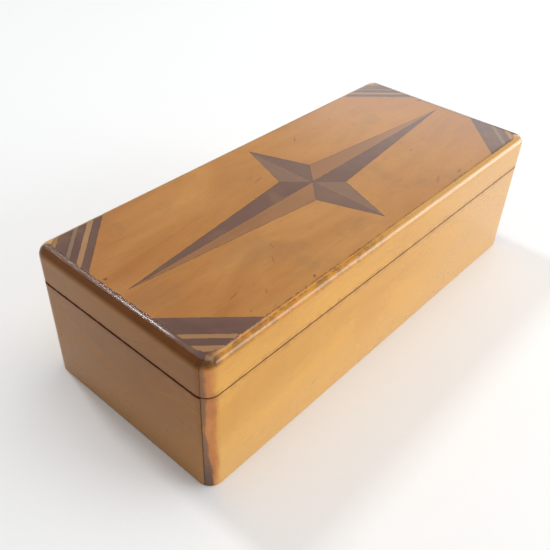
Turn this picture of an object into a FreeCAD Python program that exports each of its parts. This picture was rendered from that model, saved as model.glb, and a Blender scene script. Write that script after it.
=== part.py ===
import FreeCAD, Part
import math
import os
import Sketcher

# Inlaid wooden box: a long box with a hinged lid, the lid's top veneered with a compass star and
# banded corners.  Millimetres.  Origin at the centre of the underside, +Z up, +X along the box to
# its right end, -Y towards the long front, +Y towards the hinged back.

# Driving sizes: alias, value, what it measures.
SIZES = [
    ("length", 300.0, "outside, along X"),
    ("width", 129.0, "outside, along Y"),
    ("height", 88.0, "outside, along Z, lid closed"),
    ("parting_height", 66.0, "middle of the saw cut between base and lid"),
    ("parting_gap", 0.45, "open gap between base and lid"),
    ("left_end_drop", 0.5, "how much lower the left end board's top edge has shrunk"),
    ("corner_radius", 8.0, "rounded upright corners"),
    ("top_round", 5.8, "rounded edge all round the lid's top"),
    ("arris", 0.25, "broken edges at the saw cut and underneath"),
    ("long_board", 9.0, "thickness of the front and back"),
    ("end_board", 9.0, "thickness of the two ends"),
    ("corner_lap", 4.8, "what is left of the front and back outside the ends"),
    ("rabbet", 4.0, "how far the bottom and the lid's panel are let into the sides"),
    ("bottom_board", 5.0, "thickness of the bottom"),
    ("lid_board", 5.0, "thickness of the lid's panel"),
    ("board_fit", 0.1, "glue gap round the bottom and the panel"),
    ("veneer", 0.6, "thickness of the top's veneer and of every inlaid piece"),
    ("star_end_margin", 11.6, "from the star's long points to the box's ends"),
    ("star_side_margin", 12.5, "from the star's short points to the box's sides"),
    ("star_waist", 14.0, "inner corners of the star, from its middle along X and along Y"),
    ("corner_leg", 46.5, "legs of each corner's triangle, from the box's square corner"),
    ("front_dark_wide", 10.8, "front corners: first band, square across it"),
    ("front_light_line", 3.0, "front corners: light line"),
    ("front_dark_narrow", 4.3, "front corners: last dark band before the light tip"),
    ("back_dark_first", 4.0, "back corners: first dark band"),
    ("back_light_first", 3.2, "back corners: first light line"),
    ("back_dark_middle", 3.8, "back corners: middle dark band"),
    ("back_light_second", 2.4, "back corners: second, fainter line"),
    ("back_dark_last", 6.3, "back corners: last dark band before the light tip"),
    ("hinge_from_end", 62.0, "from the box's end to the middle of a hinge"),
    ("hinge_length", 28.0, "hinge, along X"),
    ("knuckle_radius", 1.5, "outside of the hinge's barrel"),
    ("pin_radius", 0.75, "hinge pin"),
    ("pin_play", 0.04, "running clearance between the pin and the lid's knuckles"),
    ("knuckle_gap", 0.3, "end gap between knuckles"),
    ("barrel_room", 0.3, "clear wood round the barrel"),
    ("leaf_thickness", 0.75, "hinge leaf"),
    ("leaf_shoulder", 1.0, "wood left between a leaf and the inside of the back"),
    ("leaf_fit", 0.1, "clearance round a leaf in its mortise"),
    ("stop_bevel", 50.0, "degrees, bevel on the back edges of base and lid; twice this is the opening"),
    ("screw_radius", 0.8, "hinge screw, shank"),
    ("screw_head_radius", 1.45, "hinge screw, head"),
    ("screw_length", 8.0, "hinge screw, over all"),
    ("screw_point", 2.0, "length of the screw's point"),
    ("screw_spacing", 9.5, "between screws along a leaf"),
    ("screw_bite", 0.1, "how much smaller than the shank its pilot hole is"),
    ("screw_play", 0.03, "clearance of the head in its countersink and of the shank in the leaf"),
    ("slot_width", 0.4, "screwdriver slot"),
    ("slot_depth", 0.3, "screwdriver slot"),
]
KNUCKLES = 5

doc = FreeCAD.newDocument("inlaid_box")
sheet = doc.addObject("Spreadsheet::Sheet", "Size")
for row, (alias, value, meaning) in enumerate(SIZES, start=1):
    sheet.set(f"A{row}", alias)
    sheet.set(f"B{row}", str(value))
    sheet.set(f"C{row}", meaning)
    sheet.setAlias(f"B{row}", alias)
doc.recompute()

# Places worked out from the driving sizes, as expressions that every piece shares.
HALF_LENGTH = "Size.length / 2"
HALF_WIDTH = "Size.width / 2"
END_INSIDE = "(Size.length / 2 - Size.end_board)"
SIDE_INSIDE = "(Size.width / 2 - Size.long_board)"
LAP_INSIDE = "(Size.width / 2 - Size.corner_lap)"
BASE_TOP = "(Size.parting_height - Size.parting_gap / 2)"
LID_UNDER = "(Size.parting_height + Size.parting_gap / 2)"
VENEER_UNDER = "(Size.height - Size.veneer)"
STAR_LONG = "(Size.length / 2 - Size.star_end_margin)"
STAR_SHORT = "(Size.width / 2 - Size.star_side_margin)"
PIN_Y = "(Size.width / 2 - Size.knuckle_radius)"
PIN_Z = "Size.parting_height"
KNUCKLE_PITCH = f"(Size.hinge_length / {KNUCKLES})"
LEAF_NEAR = "(Size.knuckle_radius + Size.barrel_room)"
LEAF_INNER = f"({SIDE_INSIDE} + Size.leaf_shoulder)"
SCREW_Y = f"(({LEAF_INNER} + {PIN_Y} - {LEAF_NEAR}) / 2)"
HINGE_SIDES = (("left", "-1"), ("right", "1"))

parts = []


def number(expression):
    """Value of an expression of the sheet, now."""
    value = sheet.evalExpression(expression)
    return float(getattr(value, "Value", value))


def bind(obj, **expressions):
    """Ties properties of an object to the sheet; x, y, z are its place."""
    for name, expression in expressions.items():
        target = f"Placement.Base.{name}" if name in "xyz" else name
        obj.setExpression(target, expression)
    return obj


def keep(obj, label):
    """Names a finished sub-part and puts it on the list to be written."""
    obj.Label = label
    parts.append(obj)
    return obj


def box(name, x, y, z):
    """Block between two expressions along each axis."""
    block = doc.addObject("Part::Box", name)
    bind(block, x=x[0], y=y[0], z=z[0])
    bind(block, Length=f"({x[1]}) - ({x[0]})", Width=f"({y[1]}) - ({y[0]})", Height=f"({z[1]}) - ({z[0]})")
    return block


def rod(name, radius, x, y=PIN_Y, z=PIN_Z):
    """Round bar along X, between two expressions."""
    bar = doc.addObject("Part::Cylinder", name)
    bar.Placement.Rotation = FreeCAD.Rotation(FreeCAD.Vector(0, 1, 0), 90)
    return bind(bar, x=x[0], y=y, z=z, Radius=radius, Height=f"({x[1]}) - ({x[0]})")


def cut(name, base, *tools):
    """Base with the tools taken away."""
    tool = tools[0]
    if len(tools) > 1:
        tool = doc.addObject("Part::MultiFuse", f"{name}_tools")
        tool.Shapes = list(tools)
    result = doc.addObject("Part::Cut", name)
    result.Base = base
    result.Tool = tool
    return result


def fuse(name, *shapes):
    """Shapes joined into one solid."""
    result = doc.addObject("Part::MultiFuse", name)
    result.Shapes = list(shapes)
    return result


def common(name, base, tool):
    """What two shapes share."""
    result = doc.addObject("Part::Common", name)
    result.Base = base
    result.Tool = tool
    return result


def plane(body, role):
    """One of a body's own origin planes."""
    return next(item for item in body.Origin.OriginFeatures if item.Role == role)


def pin_corner(sketch, line, corner):
    """Ties the first end of a sketch line to the sheet."""
    x, y = corner
    if x == "0" and y == "0":
        sketch.addConstraint(Sketcher.Constraint("Coincident", line, 1, -1, 1))
        return
    for kind, expression, axis in (("DistanceX", x, -2), ("DistanceY", y, -1)):
        if expression == "0":
            sketch.addConstraint(Sketcher.Constraint("PointOnObject", line, 1, axis))
        else:
            added = sketch.addConstraint(Sketcher.Constraint(kind, line, 1, number(expression)))
            sketch.setExpression(f"Constraints[{added}]", expression)


def slab(name, loops, low, high, role="XY_Plane"):
    """Body: straight-sided loops of (x, y) expressions, padded from one level to another."""
    body = doc.addObject("PartDesign::Body", name)
    sketch = body.newObject("Sketcher::SketchObject", f"{name}_outline")
    sketch.AttachmentSupport = [(plane(body, role), "")]
    sketch.MapMode = "FlatFace"
    sketch.setExpression("AttachmentOffset.Base.z", low)
    for loop in loops:
        spots = [FreeCAD.Vector(number(x), number(y), 0) for x, y in loop]
        first = sketch.GeometryCount
        for start, end in zip(spots, spots[1:] + spots[:1]):
            sketch.addGeometry(Part.LineSegment(start, end), False)
        for step, corner in enumerate(loop):
            before = first + (step - 1) % len(loop)
            sketch.addConstraint(Sketcher.Constraint("Coincident", before, 2, first + step, 1))
            pin_corner(sketch, first + step, corner)
    pad = body.newObject("PartDesign::Pad", f"{name}_pad")
    pad.Profile = sketch
    pad.setExpression("Length", f"({high}) - ({low})")
    doc.recompute()
    return body


def level_face(shape, highest):
    """Name of a shape's top or bottom face."""
    places = [face.CenterOfMass.z if face.BoundBox.ZLength < 1e-6 else None for face in shape.Faces]
    flat = [place for place in places if place is not None]
    return f"Face{places.index(max(flat) if highest else min(flat)) + 1}"


def dress(body, kind, edges, size_name, expression):
    """Adds a fillet or chamfer to a body's last feature."""
    last = body.Tip
    feature = body.newObject(f"PartDesign::{kind}", f"{body.Name}_{kind.lower()}_{len(body.Group)}")
    feature.Base = (last, edges)
    feature.setExpression(size_name, expression)
    doc.recompute()
    return feature


def outer_form(name, low, high, round_top):
    """Body: the block that a half of the box is shaped from, with its rounded corners."""
    corners = [("-" + HALF_LENGTH, "-" + HALF_WIDTH), (HALF_LENGTH, "-" + HALF_WIDTH),
               (HALF_LENGTH, HALF_WIDTH), ("-" + HALF_LENGTH, HALF_WIDTH)]
    body = slab(name, [corners], low, high)
    upright = [f"Edge{n}" for n, edge in enumerate(body.Shape.Edges, start=1)
               if edge.BoundBox.ZLength > 1.0]
    dress(body, "Fillet", upright, "Radius", "Size.corner_radius")
    dress(body, "Chamfer", [level_face(body.Shape, False)], "Size", "Size.arris")
    if round_top:
        dress(body, "Fillet", [level_face(body.Shape, True)], "Radius", "Size.top_round")
    else:
        dress(body, "Chamfer", [level_face(body.Shape, True)], "Size", "Size.arris")
    return body


def long_board(name, side, low, high):
    """Front or back blank: full length, rabbeted at both ends to lap over the end boards."""
    outside = f"{side} * {HALF_WIDTH}"
    lap = f"{side} * {LAP_INSIDE}"
    inside = f"{side} * {SIDE_INSIDE}"
    right = [(HALF_LENGTH, outside), (HALF_LENGTH, lap), (END_INSIDE, lap), (END_INSIDE, inside)]
    left = [("-" + x, y) for x, y in reversed(right)]
    return slab(name, [right + left], low, high)


def end_board(name, side, low, high):
    """End blank: it stands between the laps of the front and the back."""
    outside = f"{side} * {HALF_LENGTH}"
    inside = f"{side} * {END_INSIDE}"
    loop = [(outside, "-" + LAP_INSIDE), (outside, LAP_INSIDE), (inside, LAP_INSIDE), (inside, "-" + LAP_INSIDE)]
    return slab(name, [loop], low, high)


def panel(name, fit, low, high):
    """Flat board let into the rabbets, or, with no fit, the room that the rabbets leave for it."""
    x = f"({END_INSIDE} + Size.rabbet - {fit})"
    y = f"({SIDE_INSIDE} + Size.rabbet - {fit})"
    return box(name, ("-" + x, x), ("-" + y, y), (low, high))


def stop_bevel(name, direction):
    """Wedge planed off a back edge, from above the pin's axis out past the back, as a prism along X.

    direction is 1 for the lid, whose bevel rises to the back, and -1 for the base, whose bevel falls.
    """
    edge = LID_UNDER if direction == "1" else BASE_TOP
    reach = "(Size.knuckle_radius + 1)"
    far = f"({PIN_Y} + {reach})"
    rise = f"({edge} + {direction} * {reach} * tan(Size.stop_bevel))"
    over = f"({edge} - {direction} * 1)"
    loop = [(PIN_Y, edge), (far, rise), (far, over), (PIN_Y, over)]
    return slab(name, [loop], f"-({HALF_LENGTH} + 1)", f"{HALF_LENGTH} + 1", "YZ_Plane")


def hinge_middle(side):
    """X of a hinge's middle."""
    return f"({side} * ({HALF_LENGTH} - Size.hinge_from_end))"


def leaf_block(name, side, face, away, fit, near):
    """Flat part of a hinge leaf, from its inner edge to near, lying from its face into the wood.

    With a fit it is the mortise that the leaf lies in.
    """
    middle = hinge_middle(side)
    half = f"(Size.hinge_length / 2 + {fit})"
    depths = (face, f"{face} + {away} * Size.leaf_thickness")
    levels = depths if away == "1" else depths[::-1]
    inner = f"({LEAF_INNER} - {fit})"
    return box(name, (f"{middle} - {half}", f"{middle} + {half}"), (inner, near), levels)


def screw_places(side):
    """X of a leaf's three screws."""
    return [f"({hinge_middle(side)} + {step} * Size.screw_spacing)" for step in ("-1", "0", "1")]


def turned(name, radius_face, radius_deep, face, away, depth, x):
    """Cone or cylinder on a screw's axis, from the leaf's face into the wood."""
    cone = doc.addObject("Part::Cone", name)
    if away == "-1":
        cone.Placement.Rotation = FreeCAD.Rotation(FreeCAD.Vector(1, 0, 0), 180)
    return bind(cone, x=x, y=SCREW_Y, z=face, Radius1=radius_face, Radius2=radius_deep, Height=depth)


def hinge_screw(name, face, away, x):
    """Countersunk wood screw with a slotted head, flush with the leaf's face."""
    sink = "(Size.screw_head_radius - Size.screw_radius)"
    head = turned(f"{name}_head", "Size.screw_head_radius", "Size.screw_radius", face, away, sink, x)
    neck = f"{face} + {away} * {sink}"
    body_length = f"(Size.screw_length - {sink} - Size.screw_point)"
    shank = doc.addObject("Part::Cylinder", f"{name}_shank")
    shank.Placement.Rotation = head.Placement.Rotation
    bind(shank, x=x, y=SCREW_Y, z=neck, Radius="Size.screw_radius", Height=body_length)
    shoulder = f"{neck} + {away} * {body_length}"
    tip = turned(f"{name}_point", "Size.screw_radius", "0", shoulder, away, "Size.screw_point", x)
    floor = f"{face} + {away} * Size.slot_depth"
    levels = (f"{face} - 1", floor) if away == "1" else (floor, f"{face} + 1")
    slot = box(f"{name}_slot",
               (f"{x} - Size.slot_width / 2", f"{x} + Size.slot_width / 2"),
               (f"{SCREW_Y} - Size.screw_head_radius - 1", f"{SCREW_Y} + Size.screw_head_radius + 1"),
               levels)
    return cut(name, fuse(f"{name}_turned", head, shank, tip), slot)


def pilot_hole(name, face, away, x):
    """Hole in the wood that a screw's thread bites into."""
    hole = doc.addObject("Part::Cylinder", name)
    if away == "-1":
        hole.Placement.Rotation = FreeCAD.Rotation(FreeCAD.Vector(1, 0, 0), 180)
    return bind(hole, x=x, y=SCREW_Y, z=face, Radius="Size.screw_radius - Size.screw_bite",
                Height="Size.screw_length")


def knuckle_span(side, index, trim):
    """Ends of one knuckle along X; trim is taken off each end that meets another knuckle."""
    start = f"{hinge_middle(side)} - Size.hinge_length / 2"
    low = f"{start} + {index} * {KNUCKLE_PITCH}"
    high = f"{start} + {index + 1} * {KNUCKLE_PITCH}"
    if index > 0:
        low = f"{low} + {trim}"
    if index < KNUCKLES - 1:
        high = f"{high} - {trim}"
    return low, high


def hinge_leaf(name, side, face, away, own, bore):
    """Leaf with its knuckles: the flat, a neck to each of its own knuckles, and its screw holes."""
    solids = [leaf_block(f"{name}_flat", side, face, away, "0", f"({PIN_Y} - {LEAF_NEAR})")]
    depths = (face, f"{face} + {away} * Size.leaf_thickness")
    levels = depths if away == "1" else depths[::-1]
    for index in own:
        span = knuckle_span(side, index, "Size.knuckle_gap / 2")
        near = (f"{PIN_Y} - {LEAF_NEAR}", PIN_Y)
        solids.append(box(f"{name}_neck_{index}", span, near, levels))
        solids.append(rod(f"{name}_knuckle_{index}", "Size.knuckle_radius", span))
    middle = hinge_middle(side)
    through = (f"{middle} - Size.hinge_length / 2 - 1", f"{middle} + Size.hinge_length / 2 + 1")
    holes = [rod(f"{name}_bore", bore, through)]
    sink = "(Size.screw_head_radius - Size.screw_radius)"
    for index, x in enumerate(screw_places(side)):
        holes.append(turned(f"{name}_sink_{index}", "Size.screw_head_radius + Size.screw_play",
                            "Size.screw_radius + Size.screw_play", face, away, sink, x))
        hole = doc.addObject("Part::Cylinder", f"{name}_hole_{index}")
        bind(hole, x=x, y=SCREW_Y, z=f"{face} - Size.leaf_thickness - 1",
             Radius="Size.screw_radius + Size.screw_play", Height="2 * Size.leaf_thickness + 2")
        holes.append(hole)
    return keep(cut(f"{name}_leaf", fuse(f"{name}_blank", *solids), *holes), name)


def hinge_cuts(half, face, away):
    """What the back's edge loses to the hinges: mortises, room for the barrels, pilot holes."""
    cuts = []
    for place, side in HINGE_SIDES:
        name = f"{half}_{place}"
        middle = hinge_middle(side)
        ends = "(Size.hinge_length / 2 + Size.barrel_room)"
        cuts.append(leaf_block(f"{name}_mortise", side, face, away, "Size.leaf_fit", PIN_Y))
        cuts.append(rod(f"{name}_barrel_room", "Size.knuckle_radius + Size.barrel_room",
                        (f"{middle} - {ends}", f"{middle} + {ends}")))
        for index, x in enumerate(screw_places(side)):
            cuts.append(pilot_hole(f"{name}_pilot_{index}", face, away, x))
    return cuts


def hinge_half(half, face, away, own, bore):
    """Both leaves of one half of the box, and their screws."""
    screws = []
    for place, side in HINGE_SIDES:
        hinge_leaf(f"{half}_hinge_leaf_{place}", side, face, away, own, bore)
        for index, x in enumerate(screw_places(side)):
            screws.append(hinge_screw(f"{half}_screw_{place}_{index}", face, away, x))
    group = doc.addObject("Part::Compound", f"{half}_screws")
    group.Links = screws
    keep(group, f"{half}_hinge_screws")


def base():
    """The lower part: four boards round a bottom, with the lower halves of the hinges."""
    form = outer_form("base_form", "0", BASE_TOP, False)
    seat = panel("bottom_seat", "0", "-1", "Size.bottom_board")
    low_end_top = f"{BASE_TOP} - Size.left_end_drop"
    for label, blank in (
            ("base_front_board", long_board("base_front_blank", "-1", "0", BASE_TOP)),
            ("base_left_end", end_board("base_left_blank", "-1", "0", low_end_top)),
            ("base_right_end", end_board("base_right_blank", "1", "0", BASE_TOP))):
        keep(cut(f"{label}_cut", common(f"{label}_shaped", blank, form), seat), label)
    back = common("base_back_shaped", long_board("base_back_blank", "1", "0", BASE_TOP), form)
    cuts = hinge_cuts("base", BASE_TOP, "-1")
    keep(cut("base_back_cut", back, seat, stop_bevel("base_bevel", "-1"), *cuts), "base_back_board")
    keep(panel("bottom_blank", "Size.board_fit", "0", "Size.bottom_board"), "base_bottom_board")
    hinge_half("base", BASE_TOP, "-1", range(0, KNUCKLES, 2), "Size.pin_radius")
    for place, side in HINGE_SIDES:
        middle = hinge_middle(side)
        ends = (f"{middle} - Size.hinge_length / 2", f"{middle} + Size.hinge_length / 2")
        keep(rod(f"pin_{place}", "Size.pin_radius", ends), f"hinge_pin_{place}")


def lid_frame(form):
    """The lid under its veneer: four rails round a panel, with the upper halves of the hinges."""
    top = VENEER_UNDER
    panel_under = f"({VENEER_UNDER} - Size.lid_board)"
    seat = panel("panel_seat", "0", panel_under, f"{top} + 1")
    for label, blank in (
            ("lid_front_rail", long_board("lid_front_blank", "-1", LID_UNDER, top)),
            ("lid_left_rail", end_board("lid_left_blank", "-1", LID_UNDER, top)),
            ("lid_right_rail", end_board("lid_right_blank", "1", LID_UNDER, top))):
        keep(cut(f"{label}_cut", common(f"{label}_shaped", blank, form), seat), label)
    back = common("lid_back_shaped", long_board("lid_back_blank", "1", LID_UNDER, top), form)
    cuts = hinge_cuts("lid", LID_UNDER, "1")
    keep(cut("lid_back_cut", back, seat, stop_bevel("lid_bevel", "1"), *cuts), "lid_back_rail")
    keep(panel("panel_blank", "Size.board_fit", panel_under, top), "lid_panel")
    hinge_half("lid", LID_UNDER, "1", range(1, KNUCKLES, 2), "Size.pin_radius + Size.pin_play")


def inlay(label, loops, form):
    """One piece of the top's veneer, shaped to the lid's rounded edge."""
    keep(common(f"{label}_shaped", slab(f"{label}_blank", loops, VENEER_UNDER, "Size.height"), form), label)


def star(form):
    """Eight long triangles, two to each point, that meet in the middle."""
    arms = (("left", "-1", "x"), ("right", "1", "x"), ("front", "-1", "y"), ("back", "1", "y"))
    for arm, along, axis in arms:
        for side in ("-1", "1"):
            if axis == "x":
                point = (f"{along} * {STAR_LONG}", "0")
                waist = (f"{along} * Size.star_waist", f"{side} * Size.star_waist")
                facet = "back" if side == "1" else "front"
            else:
                point = ("0", f"{along} * {STAR_SHORT}")
                waist = (f"{side} * Size.star_waist", f"{along} * Size.star_waist")
                facet = "right" if side == "1" else "left"
            inlay(f"star_{arm}_point_{facet}_half", [[("0", "0"), point, waist]], form)


def corner(place, side_x, side_y, bands, form):
    """Diagonal bands across one corner of the top, and the light tip outside them.

    A band's edges are lines at 45 degrees: side_x * x + side_y * y is the same all along one.
    """
    line = "((Size.length + Size.width) / 2 - Size.corner_leg)"
    for band, width in bands:
        following = f"({line} + Size.{width} * sqrt(2))"
        loop = [(f"{side_x} * ({line} - {HALF_WIDTH})", f"{side_y} * {HALF_WIDTH}"),
                (f"{side_x} * {HALF_LENGTH}", f"{side_y} * ({line} - {HALF_LENGTH})"),
                (f"{side_x} * {HALF_LENGTH}", f"{side_y} * ({following} - {HALF_LENGTH})"),
                (f"{side_x} * ({following} - {HALF_WIDTH})", f"{side_y} * {HALF_WIDTH}")]
        inlay(f"corner_{place}_{band}", [loop], form)
        line = following
    tip = [(f"{side_x} * ({line} - {HALF_WIDTH})", f"{side_y} * {HALF_WIDTH}"),
           (f"{side_x} * {HALF_LENGTH}", f"{side_y} * ({line} - {HALF_LENGTH})"),
           (f"{side_x} * {HALF_LENGTH}", f"{side_y} * {HALF_WIDTH}")]
    inlay(f"corner_{place}_light_tip", [tip], form)


def ground(form):
    """The light veneer between the star and the corners, one sheet with the star cut out of it."""
    reach_x = f"((Size.length + Size.width) / 2 - Size.corner_leg - {HALF_WIDTH})"
    reach_y = f"((Size.length + Size.width) / 2 - Size.corner_leg - {HALF_LENGTH})"
    outline = [("-" + reach_x, "-" + HALF_WIDTH), (reach_x, "-" + HALF_WIDTH),
               (HALF_LENGTH, "-" + reach_y), (HALF_LENGTH, reach_y),
               (reach_x, HALF_WIDTH), ("-" + reach_x, HALF_WIDTH),
               ("-" + HALF_LENGTH, reach_y), ("-" + HALF_LENGTH, "-" + reach_y)]
    waist = "Size.star_waist"
    star_hole = [(STAR_LONG, "0"), (waist, waist), ("0", STAR_SHORT), ("-" + waist, waist),
                 ("-" + STAR_LONG, "0"), ("-" + waist, "-" + waist), ("0", "-" + STAR_SHORT),
                 (waist, "-" + waist)]
    inlay("top_ground_veneer", [outline, star_hole], form)


def lid():
    """The lid: its frame, and the veneered top."""
    form = outer_form("lid_form", LID_UNDER, "Size.height", True)
    lid_frame(form)
    ground(form)
    star(form)
    front = (("dark_wide_band", "front_dark_wide"), ("light_line", "front_light_line"),
             ("dark_narrow_band", "front_dark_narrow"))
    back = (("first_dark_band", "back_dark_first"), ("first_light_line", "back_light_first"),
            ("middle_dark_band", "back_dark_middle"), ("second_light_line", "back_light_second"),
            ("last_dark_band", "back_dark_last"))
    for place, side_x, side_y, bands in (("front_left", "-1", "-1", front), ("front_right", "1", "-1", front),
                                         ("back_left", "-1", "1", back), ("back_right", "1", "1", back)):
        corner(place, side_x, side_y, bands, form)


def check():
    """Stops if anything failed to build, or a sub-part isn't whole."""
    for obj in doc.Objects:
        if {"Invalid", "Error"} & set(obj.State):
            raise RuntimeError(f"{obj.Label} failed: {obj.State}")
    for part in parts:
        if part.Shape.isNull() or not part.Shape.isValid() or not part.Shape.Solids:
            raise RuntimeError(f"{part.Label} has no valid solid")


base()
lid()
doc.recompute()
check()
os.makedirs("parts", exist_ok=True)
for part in parts:
    part.Shape.exportStep(f"parts/{part.Label}.step")
    box_size = part.Shape.BoundBox
    print(f"{part.Label}: {len(part.Shape.Solids)} solid(s), {part.Shape.Volume:.1f} mm3, "
          f"{box_size.XLength:.1f} x {box_size.YLength:.1f} x {box_size.ZLength:.2f}")
print(len(parts), "sub-parts")
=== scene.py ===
"""Looks of the inlaid wooden box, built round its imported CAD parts.  Metres, +Z up, front towards -Y."""
import math
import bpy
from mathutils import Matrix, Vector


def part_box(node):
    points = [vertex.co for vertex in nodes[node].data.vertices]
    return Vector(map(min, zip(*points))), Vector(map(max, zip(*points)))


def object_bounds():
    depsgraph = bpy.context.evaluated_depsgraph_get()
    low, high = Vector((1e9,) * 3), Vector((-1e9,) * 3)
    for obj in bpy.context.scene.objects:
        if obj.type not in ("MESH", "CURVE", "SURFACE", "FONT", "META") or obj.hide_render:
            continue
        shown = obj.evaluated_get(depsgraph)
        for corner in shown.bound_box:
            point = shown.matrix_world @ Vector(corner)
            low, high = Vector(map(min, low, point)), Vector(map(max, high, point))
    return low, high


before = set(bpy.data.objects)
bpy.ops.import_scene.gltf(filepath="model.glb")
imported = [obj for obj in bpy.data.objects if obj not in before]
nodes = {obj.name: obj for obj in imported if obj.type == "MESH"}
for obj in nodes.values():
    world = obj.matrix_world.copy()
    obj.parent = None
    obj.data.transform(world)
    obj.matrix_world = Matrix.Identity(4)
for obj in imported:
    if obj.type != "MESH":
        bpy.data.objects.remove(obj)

from types import SimpleNamespace

import bpy
import numpy as np
from mathutils import Matrix, Quaternion, Vector

cad_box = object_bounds()
LOW, HIGH = (Vector(corner) for corner in cad_box)
MIDDLE = (LOW + HIGH) / 2
HALF_LENGTH, HALF_WIDTH, TOP = HIGH

# Places that the frame gives: the lap of the long boards over the ends, the inside, the veneer's underside.
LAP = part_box("base_left_end")[1].y
INSIDE_X = -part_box("base_left_end")[1].x
INSIDE_Y = -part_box("base_front_board")[1].y
VENEER_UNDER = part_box("top_ground_veneer")[0].z

# Radius of the upright corners, and of the corners of the veneer that isn't worn through.
CORNER = 0.008
WORN_CORNER = 0.013
# How far in from the sides the veneer is worn through, how much further in from the ends, how unevenly.
WORN_EDGE = 0.0043
WORN_END = 0.0014
WORN_UNEVEN = 0.0005
# Depth at which a board's varnish and its darker blotches have given way to bare wood.
VARNISH_STOPS = (0.0040, 0.0046)
# The stretch of Y, behind the near corner, over which the chipped rim goes from dull to glossy.
GLOSS_STARTS = (-0.045, -0.028)
# Cells in a metre of the fine and the coarse noise that the wear, the varnish, the dirt and the painted shade
# share.
FINE, COARSE = 1100.0, 240.0
# The varnish: roughness of its coat, and its refraction on the top and long boards and on the duller ends.
COAT_ROUGHNESS = 0.16
GLOSSY_IOR, DULL_IOR = 1.45, 1.33

# Colours, linear.
COLOURS = {
    "front_light": (0.78, 0.39, 0.048), "front_dark": (0.62, 0.275, 0.022),
    # The pale straw at the foot of the front is painted light bounced from the table.
    "straw_bounce_light": (0.79, 0.46, 0.125), "dull_straw": (0.69, 0.39, 0.125),
    # Ends: darker than the long boards, partly their own tone and partly painted shade; the pale foot colour
    # is painted light bounced from the table.
    "end_light": (0.37, 0.146, 0.015), "end_dark": (0.26, 0.094, 0.009), "end_foot_bounce_light": (0.40, 0.185, 0.050),
    "end_grain": (0.70, 0.25, 0.040), "end_grain_dark": (0.47, 0.13, 0.018),
    "end_shadow": (0.27, 0.105, 0.022),
    "amber": (0.55, 0.24, 0.014), "orange": (0.58, 0.19, 0.010), "brown": (0.27, 0.115, 0.012),
    "thin_amber": (0.60, 0.32, 0.085),
    # The dark of the worn strip on the ends is chipped varnish and painted shade.
    "burnt": (0.120, 0.034, 0.004), "crust": (0.060, 0.026, 0.014), "worn_dark_and_shade": (0.095, 0.040, 0.034),
    "ground_light": (0.53, 0.238, 0.048), "ground_dark": (0.37, 0.130, 0.014),
    "plum_light": (0.165, 0.073, 0.042), "plum_dark": (0.107, 0.044, 0.027),
    "umber_light": (0.18, 0.086, 0.050), "umber_dark": (0.13, 0.061, 0.037),
    "russet_light": (0.34, 0.142, 0.044), "russet_dark": (0.245, 0.098, 0.028),
    "taupe_light": (0.235, 0.118, 0.064), "taupe_dark": (0.17, 0.087, 0.048),
    "line_light": (0.44, 0.225, 0.085), "line_dark": (0.31, 0.15, 0.055),
    "grey_light": (0.28, 0.16, 0.085), "grey_dark": (0.20, 0.11, 0.058), "smudge": (0.27, 0.135, 0.040),
    "bare_light": (0.66, 0.46, 0.26), "bare_dark": (0.50, 0.33, 0.17),
    # The saw cut's dark colours are dirt and painted shade in the gap.
    "glue": (0.060, 0.022, 0.005), "dirt": (0.25, 0.072, 0.003), "dark_dirt": (0.17, 0.048, 0.005),
    "brass": (0.68, 0.47, 0.20), "brown_brass": (0.30, 0.19, 0.08),
    "paper": (0.925, 0.93, 0.935), "paper_shade": (0.905, 0.91, 0.915),
}

# Small marks of use on the top: place, half length, half width, direction in degrees, how dark.
MARKS = (
    (-0.1415, 0.0140, 0.0011, 0.0009, 0, 0.75), (-0.0685, -0.0575, 0.0014, 0.0008, 30, 0.6),
    (0.0325, 0.0420, 0.0024, 0.0004, 35, 0.7), (-0.0215, 0.0245, 0.0040, 0.0004, 10, 0.45),
    (-0.0645, -0.0255, 0.0022, 0.0003, 70, 0.5), (-0.0730, -0.0340, 0.0028, 0.0003, 55, 0.4),
    (-0.1070, -0.0395, 0.0034, 0.0003, 12, 0.5), (-0.0935, -0.0480, 0.0015, 0.0004, 60, 0.4),
    (-0.0990, -0.0585, 0.0018, 0.0003, 20, 0.4), (0.1430, 0.0175, 0.0026, 0.0008, -20, 0.7),
    (0.0750, -0.0200, 0.0012, 0.0008, 0, 0.45), (0.0740, -0.0560, 0.0024, 0.0009, 10, 0.45),
    (0.0560, -0.0520, 0.0044, 0.0010, 25, 0.25),
)


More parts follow.
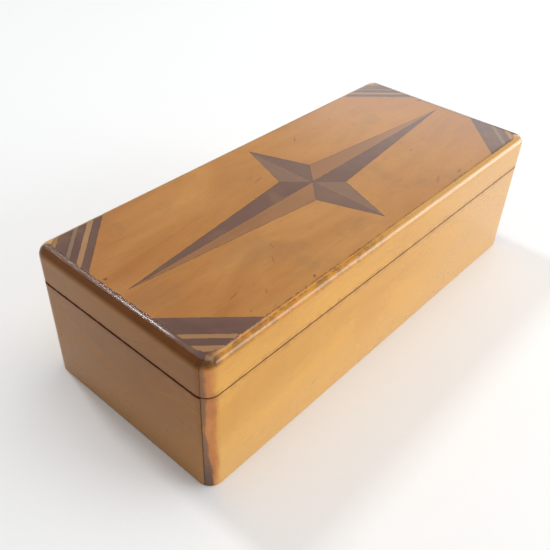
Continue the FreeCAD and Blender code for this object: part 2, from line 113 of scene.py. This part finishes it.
class Shade:
    """A material's node tree, written as expressions: every call adds a node and gives a socket."""

    def __init__(self, name):
        self.material = bpy.data.materials.new(name)
        self.material.use_nodes = True
        self.tree = self.material.node_tree
        self.tree.nodes.clear()
        place = self.add("TexCoord")
        self.place = place.outputs["Object"]
        self.x, self.y, self.z = self.parts(self.place)
        self.across, _, self.up = self.parts(place.outputs["Normal"])

    def add(self, kind, sockets=(), **settings):
        """A node with its settings; sockets maps an input's name or number to a value or a link."""
        node = self.tree.nodes.new(f"ShaderNode{kind}")
        for name, value in settings.items():
            setattr(node, name, value)
        for key, value in dict(sockets).items():
            if isinstance(value, bpy.types.NodeSocket):
                self.tree.links.new(value, node.inputs[key])
            else:
                node.inputs[key].default_value = value
        return node

    def parts(self, vector):
        """The three numbers of a vector."""
        return self.add("SeparateXYZ", {0: vector}).outputs[:3]

    def turned(self, angle, scale, offset=(0, 0, 0)):
        """Place turned about Z by an angle in degrees, then stretched: a pattern's own coordinates.

        Two nodes, because one Mapping node stretches before it turns.
        """
        turn = (0, 0, math.radians(-angle))
        spun = self.add("Mapping", {"Vector": self.place, "Rotation": turn}).outputs[0]
        return self.add("Mapping", {"Vector": spun, "Location": offset, "Scale": scale}).outputs[0]

    def noise(self, vector, scale, detail=3.0, rough=0.55, bend=0.0):
        """Soft noise, 0 to 1."""
        sockets = {"Vector": vector, "Scale": scale, "Detail": detail, "Roughness": rough, "Distortion": bend}
        return self.add("TexNoise", sockets).outputs["Fac"]

    def sum(self, kind, a, b=0.0, c=0.0, clamp=False):
        """Arithmetic on values."""
        return self.add("Math", {0: a, 1: b, 2: c}, operation=kind, use_clamp=clamp).outputs[0]

    def vector(self, kind, a, b):
        """Arithmetic on two vectors: the node, because its answer is a vector or a value."""
        return self.add("VectorMath", {0: a, 1: b}, operation=kind)

    def size(self, value):
        """Value without its sign."""
        return self.sum("ABSOLUTE", value)

    def held(self, value):
        """Value held in 0 to 1."""
        return self.sum("MAXIMUM", self.sum("MINIMUM", value, 1.0), 0.0)

    def weigh(self, start, *pairs):
        """Start, plus each value's distance from a half times its weight, held in 0 to 1."""
        total = start
        for value, weight in pairs:
            total = self.sum("MULTIPLY_ADD", self.sum("SUBTRACT", value, 0.5), weight, total)
        return self.held(total)

    def spread(self, value, low, high, to_low=0.0, to_high=1.0):
        """Value stretched from one range to another, smoothly."""
        sockets = {"Value": value, "From Min": low, "From Max": high, "To Min": to_low, "To Max": to_high}
        return self.add("MapRange", sockets, interpolation_type="SMOOTHSTEP").outputs[0]

    def both(self, *masks):
        """Masks multiplied."""
        product = masks[0]
        for mask in masks[1:]:
            product = self.sum("MULTIPLY", product, mask)
        return product

    def either(self, *masks):
        """The largest of some masks."""
        largest = masks[0]
        for mask in masks[1:]:
            largest = self.sum("MAXIMUM", largest, mask)
        return largest

    def blend(self, factor, a, b):
        """Two colours mixed; a colour is a socket or a name in COLOURS."""
        node = self.add("Mix", {"Factor": factor}, data_type="RGBA")
        for socket, value in ((node.inputs[6], a), (node.inputs[7], b)):
            if isinstance(value, bpy.types.NodeSocket):
                self.tree.links.new(value, socket)
            else:
                socket.default_value = (*COLOURS[value], 1.0)
        return node.outputs[2]

    def bump(self, height, distance, under=None):
        """Surface direction disturbed by a height of 0 to 1 that stands for a distance in metres."""
        sockets = {"Height": height, "Strength": 1.0, "Distance": distance}
        if under is not None:
            sockets["Normal"] = under
        return self.add("Bump", sockets).outputs[0]

    def finish(self, colour, normal, **sockets):
        """Principled surface; sockets are its plain values, and links where they vary."""
        surface = self.add("BsdfPrincipled", {"Base Color": colour, "Normal": normal})
        for name, value in sockets.items():
            socket = surface.inputs[name.replace("_", " ")]
            if isinstance(value, bpy.types.NodeSocket):
                self.tree.links.new(value, socket)
            else:
                socket.default_value = value
        output = self.add("OutputMaterial")
        self.tree.links.new(surface.outputs[0], output.inputs[0])
        return self.material


def inset(shade, half_x, half_y, corner):
    """Distance in from a rounded rectangle about the middle.

    With a and b the distances of a point past the lines that run a corner's radius inside the sides,
    it is the radius, less the length of (a, b) where both are above 0, less the larger of them below 0.
    """
    past_x = shade.sum("SUBTRACT", shade.size(shade.x), half_x - corner)
    past_y = shade.sum("SUBTRACT", shade.size(shade.y), half_y - corner)
    out_x = shade.sum("MAXIMUM", past_x, 0.0)
    out_y = shade.sum("MAXIMUM", past_y, 0.0)
    squares = shade.sum("MULTIPLY_ADD", out_x, out_x, shade.sum("MULTIPLY", out_y, out_y))
    outside = shade.sum("SQRT", squares)
    inside = shade.sum("MINIMUM", shade.sum("MAXIMUM", past_x, past_y), 0.0)
    return shade.sum("SUBTRACT", shade.sum("SUBTRACT", corner, outside), inside)


def figure(shade, heading, seed, clouds=1.7, stripes=0.45, fibres=0.2):
    """Wood figure along a heading in degrees from +X: how light the wood is, its fibres, pores and clouds.

    Each is noise stretched along the grain: the clouds about 2 to 1, the stripes 12 to 1, the fibres and
    the pores about 25 to 1.
    """
    moved = (seed * 0.37, seed * 0.11, seed * 0.23)
    cloud = shade.noise(shade.turned(heading, (13, 30, 30), moved), 1.0, 3.0, 0.55, 0.8)
    stripe = shade.noise(shade.turned(heading, (10, 120, 90), moved), 1.0, 4.0, 0.6, 0.7)
    fibre = shade.noise(shade.turned(heading, (60, 1500, 1500), moved), 1.0, 3.0, 0.6)
    pore = shade.noise(shade.turned(heading, (150, 3600, 3600), moved), 1.0, 2.0, 0.5)
    light = shade.weigh(0.5, (cloud, clouds), (stripe, stripes), (fibre, fibres))
    return SimpleNamespace(light=light, fibre=fibre, pore=pore, cloud=cloud)


def open_pores(shade, wood, colour, dark=0.30):
    """Colour with the wood's open pores darkened."""
    return shade.blend(shade.spread(wood.pore, 0.30, 0.38, dark, 0.0), colour, "burnt")


def pits(shade, first, second, cells, size):
    """Round specks on a flat face: one in a cell of a jittered grid, of a size that differs cell by cell."""
    clean_cells = 0.62
    flat = shade.add("CombineXYZ", {0: first, 1: second}).outputs[0]
    cell = shade.add("TexVoronoi", {"Vector": flat, "Scale": cells}, voronoi_dimensions="2D")
    own = shade.parts(cell.outputs["Color"])[0]
    reach = shade.spread(own, clean_cells, 1.0, 0.0, size * cells)
    near = shade.sum("SUBTRACT", reach, cell.outputs["Distance"])
    return shade.spread(near, 0.0, 0.25 * size * cells)


def near_node(node, numbers):
    """Whether a mark lies in the box of a node."""
    low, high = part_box(node)
    x, y = numbers[:2]
    return low.x < x < high.x and low.y < y < high.y


def mark(shade, x, y, half_length, half_width, heading, dark):
    """One mark of use: an ellipse with a ragged, fading edge, times how dark it is."""
    sockets = {"Vector": shade.place, "Location": (x, y, 0), "Scale": (half_length, half_width, 1),
               "Rotation": (0, 0, math.radians(heading))}
    spot = shade.add("Mapping", sockets, vector_type="TEXTURE").outputs[0]
    ragged = shade.noise(shade.place, 900.0, 2.0)
    across, along, _ = shade.parts(spot)
    squares = shade.sum("MULTIPLY_ADD", across, across, shade.sum("MULTIPLY", along, along))
    return shade.spread(shade.sum("ADD", squares, ragged), 1.0, 2.2, dark, 0.0)


def cut_edges(node):
    """Straight cut edges of a veneer, seen from above, as pairs of ends, from its upright faces.

    Faces in one plane make one edge: its ends are the plane's least and greatest place along the face.
    """
    mesh = nodes[node].data
    corners = np.empty(len(mesh.vertices) * 3)
    mesh.vertices.foreach_get("co", corners)
    mesh.calc_loop_triangles()
    triangles = np.empty(len(mesh.loop_triangles) * 3, int)
    mesh.loop_triangles.foreach_get("vertices", triangles)
    faces = corners.reshape(-1, 3)[triangles].reshape(-1, 3, 3)
    across = np.cross(faces[:, 1] - faces[:, 0], faces[:, 2] - faces[:, 0])
    size = np.linalg.norm(across, axis=1)
    across /= size[:, None]
    least_size, most_lean = 1e-7, 0.01
    upright = (np.abs(across[:, 2]) < most_lean) & (size > least_size)
    faces, across = faces[upright][:, :, :2], across[upright][:, :2]
    planes = np.round(np.column_stack((across, np.sum(across * faces[:, 0], axis=1))), 4)
    edges = []
    for plane in np.unique(planes, axis=0):
        spots = faces[np.all(planes == plane, axis=1)].reshape(-1, 2)
        along = spots @ np.array((-plane[1], plane[0]))
        edges.append((Vector(spots[along.argmin()]), Vector(spots[along.argmax()])))
    return edges


def joints(shade, node, uneven):
    """Glue lines of a veneer: 1 within about 0.1 mm of its straight cut edges, made uneven by a noise.

    Distance to an edge is taken to its nearest point: the foot of the upright on it, held between its ends.
    """
    flat = shade.add("CombineXYZ", {0: shade.x, 1: shade.y}).outputs[0]
    nearest = None
    for start, end in cut_edges(node):
        run = (end - start).to_3d()
        out = shade.vector("SUBTRACT", flat, start.to_3d()).outputs[0]
        share = shade.held(shade.vector("DOT_PRODUCT", out, run / run.length_squared).outputs["Value"])
        foot = shade.add("VectorMath", {0: run, "Scale": share}, operation="SCALE").outputs[0]
        gap = shade.vector("DISTANCE", out, foot).outputs["Value"]
        nearest = gap if nearest is None else shade.sum("MINIMUM", nearest, gap)
    wide = shade.spread(uneven, 0.35, 0.65, 0.00004, 0.00022)
    return shade.spread(shade.sum("SUBTRACT", nearest, wide), -0.00005, 0.00012, 1.0, 0.0)


def wear(shade, fine, coarse):
    """The worn edge of the veneer: how far a point is inside it, the dark line along it, and the ends.

    The ends are 1 where a point is nearer to an end of the box than to a side.
    """
    depth = inset(shade, HALF_LENGTH - WORN_END, HALF_WIDTH, WORN_CORNER)
    uneven = shade.weigh(0.5, (coarse, 1.6), (fine, 0.8))
    reach = shade.spread(uneven, 0.0, 1.0, WORN_EDGE - WORN_UNEVEN, WORN_EDGE + WORN_UNEVEN)
    edge = shade.sum("SUBTRACT", depth, reach)
    line = shade.both(shade.spread(shade.size(edge), 0.0001, 0.0004, 1.0, 0.0),
                      shade.spread(coarse, 0.40, 0.58, 0.2, 0.8))
    past_end = shade.sum("SUBTRACT", shade.size(shade.x), HALF_LENGTH)
    past_side = shade.sum("SUBTRACT", shade.size(shade.y), HALF_WIDTH)
    at_end = shade.spread(shade.sum("SUBTRACT", past_end, past_side), -0.001, 0.001)
    return SimpleNamespace(edge=edge, line=line, at_end=at_end)


def worn_round(shade, fine, coarse, dark):
    """Colour of the lid's rounded edge: amber varnish with orange and brown patches, or dark by a mask (dirt
    and painted shade).

    The varnish is thick along the front towards -X, burnt at the near corner, and worn thin towards +X and
    along the back.
    """
    from_end = shade.sum("ADD", shade.x, HALF_LENGTH)
    from_front = shade.sum("ADD", shade.y, HALF_WIDTH)
    colour = shade.blend(shade.spread(coarse, 0.46, 0.60, 0.0, 0.8), "amber", "orange")
    patches = shade.sum("ADD", shade.noise(shade.place, 150.0, 3.0, 0.6),
                        shade.spread(from_end, 0.0, 0.06, 0.08, 0.0))
    colour = shade.blend(shade.spread(patches, 0.48, 0.64, 0.0, 0.70), colour, "brown")
    thin = shade.either(shade.spread(shade.x, -0.05, 0.03, 0.0, 0.90),
                        shade.spread(shade.y, 0.0, 0.05, 0.0, 0.85))
    colour = shade.blend(thin, colour, "thin_amber")
    corner = shade.both(shade.spread(from_end, 0.007, 0.013, 1.0, 0.0),
                        shade.spread(from_front, 0.007, 0.013, 1.0, 0.0),
                        shade.spread(coarse, 0.36, 0.52, 0.55, 1.0))
    # Burnt at the near corner, and dark by the mask, which on the ends is dirt and painted shade.
    colour = shade.blend(shade.either(corner, dark), colour, "burnt")
    return shade.blend(shade.spread(fine, 0.62, 0.72, 0.0, 0.4), colour, "crust")


def veneer(node, tone, heading, seed):
    """A veneer of the top: figure, glue lines, marks of use, and an edge worn through to the board, dark on
    the ends with chipped varnish and painted shade.
    """
    shade = Shade(f"{node}_wood")
    wood = figure(shade, heading, seed)
    fine = shade.noise(shade.place, FINE, 3.0, 0.6)
    coarse = shade.noise(shade.place, COARSE, 3.0, 0.6)
    darker_ends = shade.spread(shade.size(shade.x), 0.06, HALF_LENGTH, 0.12, -0.30)
    light = shade.sum("ADD", wood.light, darker_ends, clamp=True)
    colour = shade.blend(light, f"{tone}_dark", f"{tone}_light")
    smudges = shade.noise(shade.place, 26.0, 3.0, 0.6, 0.5)
    colour = shade.blend(shade.spread(smudges, 0.52, 0.68, 0.0, 0.35), colour, "smudge")
    colour = open_pores(shade, wood, colour)
    specks = pits(shade, shade.x, shade.y, 55.0, 0.0007)
    scars = [mark(shade, *numbers) for numbers in MARKS if near_node(node, numbers)]
    scar = shade.either(shade.both(specks, 0.45), *scars)
    colour = shade.blend(scar, colour, "burnt")
    seam = joints(shade, node, coarse)
    colour = shade.blend(shade.both(seam, 0.75), colour, "glue")

    worn = wear(shade, fine, coarse)
    # On the ends the worn strip is dark: chipped varnish and painted shade.
    bared = shade.blend(shade.both(worn.at_end, 0.85), worn_round(shade, fine, coarse, 0.0), "worn_dark_and_shade")
    colour = shade.blend(shade.spread(worn.edge, -0.0002, 0.0002, 1.0, 0.0), colour, bared)
    colour = shade.blend(worn.line, colour, "crust")

    normal = shade.bump(shade.noise(shade.place, 55.0, 2.0, 0.5), 0.00010)
    normal = shade.bump(wood.fibre, 0.000010, normal)
    normal = shade.bump(shade.either(scar, seam), 0.00005, normal)
    glossy = shade.spread(shade.y, *GLOSS_STARTS)
    chipped = shade.both(shade.spread(worn.edge, 0.0004, 0.0014, 1.0, 0.0), worn.at_end, glossy)
    grit = shade.noise(shade.place, 2400.0, 2.0, 0.6)
    normal = shade.bump(shade.both(fine, chipped), 0.00012, normal)
    normal = shade.bump(shade.both(grit, chipped), 0.00014, normal)

    chip_rough, dull_rough = 0.09, 0.6
    flat_rough = shade.spread(wood.cloud, 0.3, 0.7, 0.33, 0.42)
    rough = shade.sum("MULTIPLY_ADD", chipped, shade.sum("SUBTRACT", chip_rough, flat_rough), flat_rough)
    dull = shade.both(shade.spread(worn.edge, 0.0, 0.0010, 1.0, 0.0), worn.at_end,
                      shade.sum("SUBTRACT", 1.0, glossy))
    rough = shade.sum("MAXIMUM", rough, shade.both(dull, dull_rough))
    gloss = shade.sum("MULTIPLY_ADD", dull, -0.38, 0.4)
    return shade.finish(colour, normal, Roughness=rough, Coat_Weight=gloss, Coat_Roughness=COAT_ROUGHNESS,
                        IOR=GLOSSY_IOR)


def end_grain(shade, colour, seed):
    """Colour of a long board with the end grain of its upright corners, and how dark its rounded edge is
    towards an end (dirt and painted shade).

    The end grain has painted shade where it is turned away from the front, deeper near the foot.
    """
    patch = shade.noise(shade.turned(0, (200, 200, 60), (seed, 0, 0)), 1.0, 3.0, 0.6)
    turned = shade.sum("MULTIPLY_ADD", shade.sum("SUBTRACT", patch, 0.5), 0.8, shade.size(shade.across))
    cut_wood = shade.blend(shade.weigh(0.35, (patch, 2.0)), "end_grain", "end_grain_dark")
    shadow_starts = shade.sum("MULTIPLY_ADD", shade.spread(shade.z, 0.0, 0.030), 0.22,
                              shade.spread(patch, 0.3, 0.7, 0.40, 0.50))
    # Painted shade where the end grain turns away from the front, deeper near the foot.
    turned_away = shade.spread(shade.sum("SUBTRACT", turned, shadow_starts), 0.0, 0.16)
    cut_wood = shade.blend(turned_away, cut_wood, "end_shadow")
    painted_shade_at_foot = shade.both(turned_away, shade.spread(shade.z, 0.004, 0.036, 0.8, 0.0))
    cut_wood = shade.blend(painted_shade_at_foot, cut_wood, "plum_dark")
    colour = shade.blend(shade.spread(turned, 0.14, 0.46), colour, cut_wood)
    return colour, shade.both(shade.spread(turned, 0.26, 0.55), 0.85)


def lap_line(shade, in_lid):
    """The glue line of the lap, as a mask that is above 0 only where the surface faces an end."""
    from_lap = shade.sum("SUBTRACT", shade.size(shade.y), LAP)
    half_wide = 0.00008 if in_lid else 0.00018
    line = shade.spread(shade.size(from_lap), half_wide, half_wide + 0.00020, 0.85, 0.0)
    return shade.both(line, shade.spread(shade.size(shade.across), 0.5, 0.9))


def saw_dirt(shade, above, depth, coarse, on_end):
    """Dirt and painted shade in the saw cut: 1 next to the cut, as far in as a ragged edge, and thicker on
    the ends.
    """
    fades = (0.00030, 0.00090) if on_end else (0.00010, 0.00040)
    uneven = shade.sum("SUBTRACT", coarse, 0.5)
    if on_end:
        above = shade.sum("MULTIPLY_ADD", uneven, 0.003, above)
    reach = shade.sum("MULTIPLY_ADD", uneven, 0.004, depth)
    return shade.both(shade.spread(above, *fades, 1.0, 0.0), shade.spread(reach, 0.0012, 0.0036, 1.0, 0.0))


def varnished_edge(shade, colour, coarse, dark):
    """Colour of a lid's rail with its rounded upper edge, and the crust of varnish under the veneer."""
    fine = shade.noise(shade.place, FINE, 3.0, 0.6)
    amber = shade.both(shade.spread(shade.up, 0.08, 0.62), shade.spread(shade.z, TOP - 0.008, TOP - 0.005))
    colour = shade.blend(amber, colour, worn_round(shade, fine, coarse, dark))
    under = shade.sum("SUBTRACT", VENEER_UNDER, shade.z)
    crust = shade.both(shade.spread(under, 0.0001, 0.0005, 1.0, 0.0),
                       shade.spread(coarse, 0.42, 0.56, 0.0, 0.5),
                       shade.spread(shade.x, -0.08, 0.0, 1.0, 0.1))
    return shade.blend(crust, colour, "crust")


def board(node, on_end, seed):
    """A board of the base or the lid: varnished outside, bare inside, dark along the saw cut with dirt and
    painted shade.

    A board on an end of the box has its grain along Y, a thinner and duller varnish, and colours darker
    partly as painted shade. Near the foot of the box the boards are paler, as painted light bounced from the
    table.
    """
    shade = Shade(f"{node}_wood")
    low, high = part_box(node)
    in_lid = node.startswith("lid_")
    wood = figure(shade, 90 if on_end else 0, seed)
    coarse = shade.noise(shade.place, COARSE, 3.0, 0.6)
    # The ends' darker tone is partly painted shade.
    tone, run = ("end", shade.y) if on_end else ("front", shade.x)
    colour = shade.blend(wood.light, f"{tone}_dark", f"{tone}_light")
    # Paler towards the foot of the box: painted light bounced up from the table.
    if on_end:
        colour = shade.blend(shade.spread(shade.z, 0.0, 0.055, 0.85, 0.0), colour, "end_foot_bounce_light")
    else:
        colour = shade.blend(shade.spread(shade.z, 0.0, 0.050, 0.55, 0.0), colour, "straw_bounce_light")
        colour = shade.blend(shade.spread(shade.x, -0.02, 0.12, 0.0, 0.55), colour, "dull_straw")
    colour = open_pores(shade, wood, colour)
    specks = pits(shade, run, shade.z, 48.0, 0.0006)
    colour = shade.blend(shade.both(specks, 0.4), colour, "crust")
    # An end board's rounded edge is dark all along: dirt, and painted shade for the shaded end.
    dark = 0.94
    if not on_end:
        colour, dark = end_grain(shade, colour, seed)
    line = lap_line(shade, in_lid)
    colour = shade.blend(line, colour, "glue")

    above = shade.size(shade.sum("SUBTRACT", shade.z, low.z if in_lid else high.z))
    depth = inset(shade, HALF_LENGTH, HALF_WIDTH, CORNER)
    # Darker in blotches within a few millimetres of the saw cut.
    blotches = shade.both(shade.spread(above, 0.0, 0.0045, 0.35, 0.0), shade.spread(coarse, 0.35, 0.65))
    colour = shade.blend(blotches, colour, "burnt")
    if in_lid:
        colour = varnished_edge(shade, colour, coarse, dark)
    inside = shade.spread(depth, *VARNISH_STOPS)
    colour = shade.blend(inside, colour, shade.blend(wood.light, "bare_dark", "bare_light"))
    # Dark in and just past the saw cut: dirt, and painted shade in the gap.
    dirt = saw_dirt(shade, above, depth, coarse, on_end)
    colour = shade.blend(dirt, colour, "dark_dirt" if on_end else "dirt")

    waves, coat, ior = (0.00004, 0.05, DULL_IOR) if on_end else (0.00012, 0.35, GLOSSY_IOR)
    normal = shade.bump(shade.noise(shade.place, 60.0, 2.0, 0.5), waves)
    normal = shade.bump(coarse, 0.000012, normal)
    normal = shade.bump(wood.fibre, 0.000010, normal)
    matt_rough = 0.7
    matt = shade.either(inside, dirt, line)
    rough = shade.spread(wood.cloud, 0.3, 0.7, 0.22, 0.34)
    rough = shade.sum("MAXIMUM", rough, shade.both(matt, matt_rough))
    gloss = shade.sum("MULTIPLY_ADD", matt, -coat, coat)
    return shade.finish(colour, normal, Roughness=rough, Coat_Weight=gloss, Coat_Roughness=COAT_ROUGHNESS,
                        IOR=ior)


def panel_wood(node, seed):
    """The bottom or the lid's panel: planed and never varnished, a little darker in patches near its edges.
    """
    shade = Shade(f"{node}_wood")
    wood = figure(shade, 0, seed, clouds=1.2, stripes=1.4, fibres=0.5)
    colour = shade.blend(wood.light, "bare_dark", "bare_light")
    colour = open_pores(shade, wood, colour, 0.35)
    depth = inset(shade, INSIDE_X, INSIDE_Y, 0.002)
    dirt = shade.spread(depth, 0.0, 0.012, 0.45, 0.0)
    colour = shade.blend(shade.both(dirt, shade.spread(wood.cloud, 0.3, 0.6)), colour, "burnt")
    return shade.finish(colour, shade.bump(wood.fibre, 0.00003), Roughness=0.6)


def aged_brass(name):
    """Brass gone brown in blotches."""
    shade = Shade(name)
    blotches = shade.noise(shade.place, 350.0, 4.0, 0.6)
    colour = shade.blend(shade.spread(blotches, 0.35, 0.7), "brass", "brown_brass")
    rough = shade.spread(blotches, 0.3, 0.7, 0.25, 0.5)
    return shade.finish(colour, shade.bump(blotches, 0.00002), Metallic=1.0, Roughness=rough)


def dress(node, material):
    """Gives a CAD node its material."""
    for slot in nodes[node].material_slots:
        slot.material = material


def dress_all():
    """A material for every CAD node, with the grain running as its piece was cut."""
    brass = aged_brass("brass")
    star = {
        "star_left_point_back_half": ("plum", 0), "star_left_point_front_half": ("russet", 0),
        "star_right_point_back_half": ("russet", 0), "star_right_point_front_half": ("plum", 0),
        "star_back_point_left_half": ("taupe", 90), "star_back_point_right_half": ("umber", 90),
        "star_front_point_left_half": ("umber", 90), "star_front_point_right_half": ("taupe", 90),
    }
    for seed, node in enumerate(sorted(nodes), start=1):
        if "hinge" in node:
            dress(node, brass)
        elif node in ("base_bottom_board", "lid_panel"):
            dress(node, panel_wood(node, seed))
        elif node.startswith(("base_", "lid_")):
            dress(node, board(node, node.endswith(("_end", "left_rail", "right_rail")), seed))
        elif node == "top_ground_veneer":
            dress(node, veneer(node, "ground", 0, seed))
        elif node in star:
            dress(node, veneer(node, *star[node], seed))
        else:
            heading = 45 if "back_left" in node or "front_right" in node else -45
            faint = "second_light" in node or node == "corner_front_right_light_line"
            tone = "plum" if "dark" in node else "grey" if faint else "line"
            dress(node, veneer(node, tone, heading, seed))


def floor():
    """A plain pale table, far wider than the view, a hair under the box."""
    half, gap = 4.0, 0.0002
    corners = [(-half, -half, 0), (half, -half, 0), (half, half, 0), (-half, half, 0)]
    mesh = bpy.data.meshes.new("floor")
    mesh.from_pydata(corners, [], [(0, 1, 2, 3)])
    table = bpy.data.objects.new("floor", mesh)
    bpy.context.scene.collection.objects.link(table)
    shade = Shade("floor_paper")
    tone = shade.spread(shade.noise(shade.place, 900.0), 0.3, 0.7)
    colour = shade.blend(tone, "paper_shade", "paper")
    table.data.materials.append(shade.finish(colour, shade.bump(tone, 0.000002), Roughness=0.7))
    table.location.z = LOW.z - gap


def panel_light(name, bearing, height, distance, size, power, roll=0.0):
    """Soft rectangular lamp that faces the box.

    Its bearing from +X, its height and its roll are in degrees; its distance and size in metres.
    """
    turn, rise = math.radians(bearing), math.radians(height)
    way = Vector((math.cos(turn) * math.cos(rise), math.sin(turn) * math.cos(rise), math.sin(rise)))
    data = bpy.data.lights.new(name, "AREA")
    data.shape = "RECTANGLE"
    data.size, data.size_y = size
    data.energy = power
    lamp = bpy.data.objects.new(name, data)
    lamp.location = MIDDLE + way * distance
    facing = (-way).to_track_quat("-Z", "Y")
    lamp.rotation_euler = (facing @ Quaternion((0, 0, 1), math.radians(roll))).to_euler()
    bpy.context.scene.collection.objects.link(lamp)


def lights():
    """Window light from the front and the right, soft light from overhead and behind, and a pale room."""
    panel_light("window", -42, 13, 1.85, (1.9, 0.65), 21, -20)
    panel_light("far_window", 20, 16, 1.72, (1.2, 0.7), 4)
    panel_light("overhead", -45, 74, 1.55, (1.2, 1.2), 8)
    panel_light("back_lamp", 90, 56, 1.85, (0.18, 0.30), 8)
    world = bpy.data.worlds.new("room")
    world.use_nodes = True
    colour, strength = world.node_tree.nodes["Background"].inputs[:2]
    colour.default_value = (0.98, 0.985, 0.98, 1.0)
    strength.default_value = 0.47
    bpy.context.scene.world = world
    bpy.context.scene.view_settings.view_transform = "Standard"


def camera():
    """Camera above the near left corner, from its bearing, height angle, tilt and distance.

    Lens and sensor are in millimetres, and the shift is a share of the sensor's width.
    """
    bearing, height, tilt = (math.radians(angle) for angle in (-49.316, 39.442, 2.134))
    distance = 0.4848
    target = Vector((-0.00289, 0.02671, -0.00508))
    level = math.cos(height)
    back = Vector((math.sin(bearing) * level, -math.cos(bearing) * level, math.sin(height)))
    right = (-back).cross(Vector((0, 0, 1))).normalized()
    up = right.cross(-back)
    tilted_right = right * math.cos(tilt) + up * math.sin(tilt)
    tilted_up = up * math.cos(tilt) - right * math.sin(tilt)
    data = bpy.data.cameras.new("camera")
    data.lens = 45.62
    data.sensor_width = 36.0
    data.shift_x = 0.0062
    data.shift_y = 0.0184
    data.clip_start = 0.01
    data.clip_end = 50.0
    view = bpy.data.objects.new("camera", data)
    turn = Matrix((tilted_right, tilted_up, back)).transposed().to_4x4()
    view.matrix_world = Matrix.Translation(target + back * distance) @ turn
    bpy.context.scene.collection.objects.link(view)
    bpy.context.scene.camera = view


dress_all()
floor()
lights()
camera()
